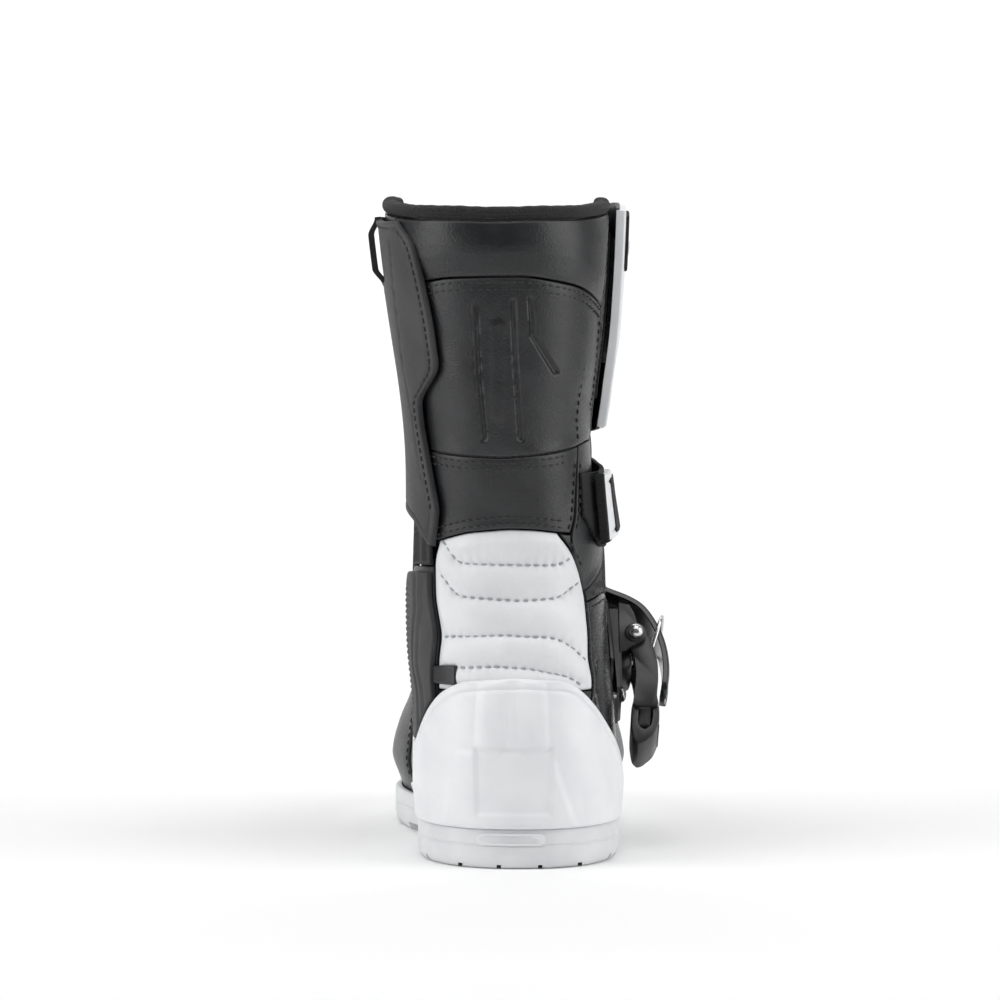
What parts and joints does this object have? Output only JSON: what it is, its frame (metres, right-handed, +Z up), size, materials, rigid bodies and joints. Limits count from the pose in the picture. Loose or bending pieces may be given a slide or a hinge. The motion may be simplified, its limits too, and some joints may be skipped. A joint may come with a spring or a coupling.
{
  "type": "child's motocross boot",
  "caption": "Tall right-foot child's protective riding boot: white cup sole and heel cup, black jointed shaft, instep buckle, hook-and-loop shin flap and ankle strap.",
  "frame": {"origin": "on the ground, under the middle of the boot's bounding box", "axes": "+X to the outer (lateral) side of this right boot, +Y to the toe, +Z up"},
  "size_m": [0.1188, 0.2266, 0.2551],
  "materials": {
    "white_polyurethane": "smooth moulded white polyurethane, satin",
    "white_quilted_leather": "white synthetic leather, quilted over foam, fine grain",
    "black_leather": "black full-grain look synthetic leather, soft sheen",
    "black_rubber": "black-grey moulded rubber panel, fine texture",
    "black_elastic": "black ribbed elastic",
    "black_knit": "black brushed knit",
    "hook_and_loop": "black hook-and-loop pile",
    "black_webbing": "black woven webbing",
    "black_plastic": "black moulded nylon, satin",
    "steel": "bright steel",
    "aluminium": "satin aluminium plate",
    "board": "pressed fibre board",
    "footbed_foam": "fabric-topped foam",
    "padding_foam": "open-cell padding foam",
    "black_lining": "black mesh lining"
  },
  "bodies": {
    "foot": {"outsole": "white_polyurethane", "insole_board": "board", "shank": "steel", "footbed": "footbed_foam", "heel_counter": "white_polyurethane", "toe_cap": "white_polyurethane", "vamp": "black_leather", "medial_quarter": "black_leather", "lateral_quarter": "black_leather", "heel_leather": "black_leather", "medial_guard": "black_rubber", "heel_stiffener": "board", "toe_puff": "board", "lateral_ankle_pad": "padding_foam", "medial_ankle_pad": "padding_foam", "foot_lining": "black_lining", "ankle_lining": "black_lining", "rear_flex_panel": "white_quilted_leather", "lateral_flex_gusset": "black_elastic", "medial_flex_gusset": "black_elastic", "front_flex_panel": "black_elastic", "buckle_base": "black_plastic", "bridge_plate": "aluminium", "base_rivet": "steel", "lever_pin": "steel", "lever_spring": "steel", "strap_anchor": "black_plastic"},
    "shaft": {"collar_panel": "black_leather", "calf_panel": "black_leather", "mid_band_panel": "black_leather", "lateral_cuff_panel": "black_leather", "medial_shaft_panel": "black_leather", "medial_cuff_panel": "black_rubber", "elastic_gusset": "black_elastic", "tongue": "black_knit", "collar_binding": "black_knit", "shaft_lining": "black_lining", "collar_foam": "padding_foam", "calf_foam": "padding_foam", "strap_loop_patch": "hook_and_loop", "flap_loop_patch": "hook_and_loop", "pull_loop": "black_webbing"},
    "shin_flap": {"flap_leather": "black_leather", "shin_plate": "white_polyurethane", "flap_hook_patch": "hook_and_loop", "flap_trim": "black_knit"},
    "mid_strap": {"strap_webbing": "black_webbing", "strap_end_plate": "white_polyurethane", "strap_hook_patch": "hook_and_loop"},
    "lever": {"buckle_lever": "black_plastic"},
    "bail": {"buckle_bail": "steel"},
    "instep_strap": {"ladder_strap": "black_plastic"}
  },
  "joints": [
    {"name": "ankle_flex", "type": "hinge", "parent": "foot", "child": "shaft", "pos_m": [0.00001, -0.05074, 0.08], "axis": [-1, 0, 0], "range_deg": [-2, 8], "stiffness_Nm_per_rad": 12, "deforming": ["rear_flex_panel", "lateral_flex_gusset", "medial_flex_gusset", "front_flex_panel", "ankle_lining"]},
    {"name": "flap_open", "type": "hinge", "parent": "shaft", "child": "shin_flap", "pos_m": [-0.04649, -0.03304, 0.206], "axis": [-0.1058, 0.099, 0.9894], "range_deg": [0, 95]},
    {"name": "ankle_strap_open", "type": "hinge", "parent": "shaft", "child": "mid_strap", "pos_m": [-0.04159, -0.03774, 0.145], "axis": [-0.1058, 0.099, 0.9894], "range_deg": [0, 95]},
    {"name": "lever_open", "type": "hinge", "parent": "foot", "child": "lever", "pos_m": [0.04601, -0.03474, 0.076], "axis": [0, -0.809, 0.5878], "range_deg": [0, 125]},
    {"name": "bail_turn", "type": "hinge", "parent": "lever", "child": "bail", "pos_m": [0.05001, -0.04297, 0.06467], "axis": [0, -0.809, 0.5878], "range_deg": [-125, 0]},
    {"name": "instep_strap_open", "type": "hinge", "parent": "foot", "child": "instep_strap", "pos_m": [-0.03878, -0.03311, 0.06985], "axis": [-0.217, -0.8007, 0.5584], "range_deg": [0, 10]}
  ],
  "couplings": [
    {"joint": "bail_turn", "follows": "lever_open", "ratio": -1},
    {"joint": "instep_strap_open", "follows": "lever_open", "ratio": 0.08}
  ]
}
